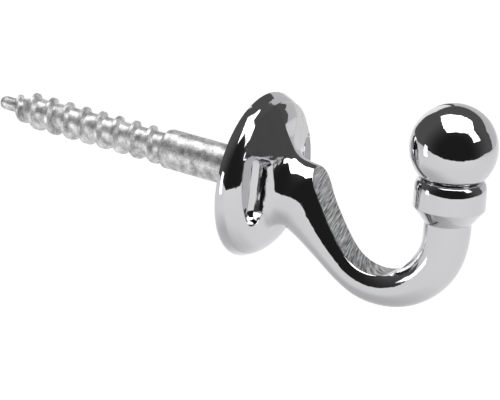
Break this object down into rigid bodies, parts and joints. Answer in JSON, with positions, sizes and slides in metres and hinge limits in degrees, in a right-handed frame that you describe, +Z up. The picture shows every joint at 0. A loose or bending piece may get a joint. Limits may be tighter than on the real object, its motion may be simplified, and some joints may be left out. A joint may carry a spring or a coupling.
{
  "type": "wardrobe hook",
  "caption": "Curved metal hook with a round rosette, a collar and a ball end, on a wood screw that goes into a door or wall.",
  "frame": {"origin": "centre of the rosette's back face, on the screw's axis, where the hook meets the wall or door", "axes": "+Y along the screw into the wall, +Z up, the hook stands out towards -Y and X = 0 is its mirror plane"},
  "size_m": [0.0208, 0.0698, 0.0271],
  "materials": {
    "chrome_casting": "bright chrome plate on a zinc die casting, one side of the arm belt-ground before plating",
    "zinc_steel": "dull zinc plate on a steel wood screw"
  },
  "bodies": {
    "root": {"hook_body": "chrome_casting", "wood_screw": "zinc_steel"}
  },
  "joints": []
}
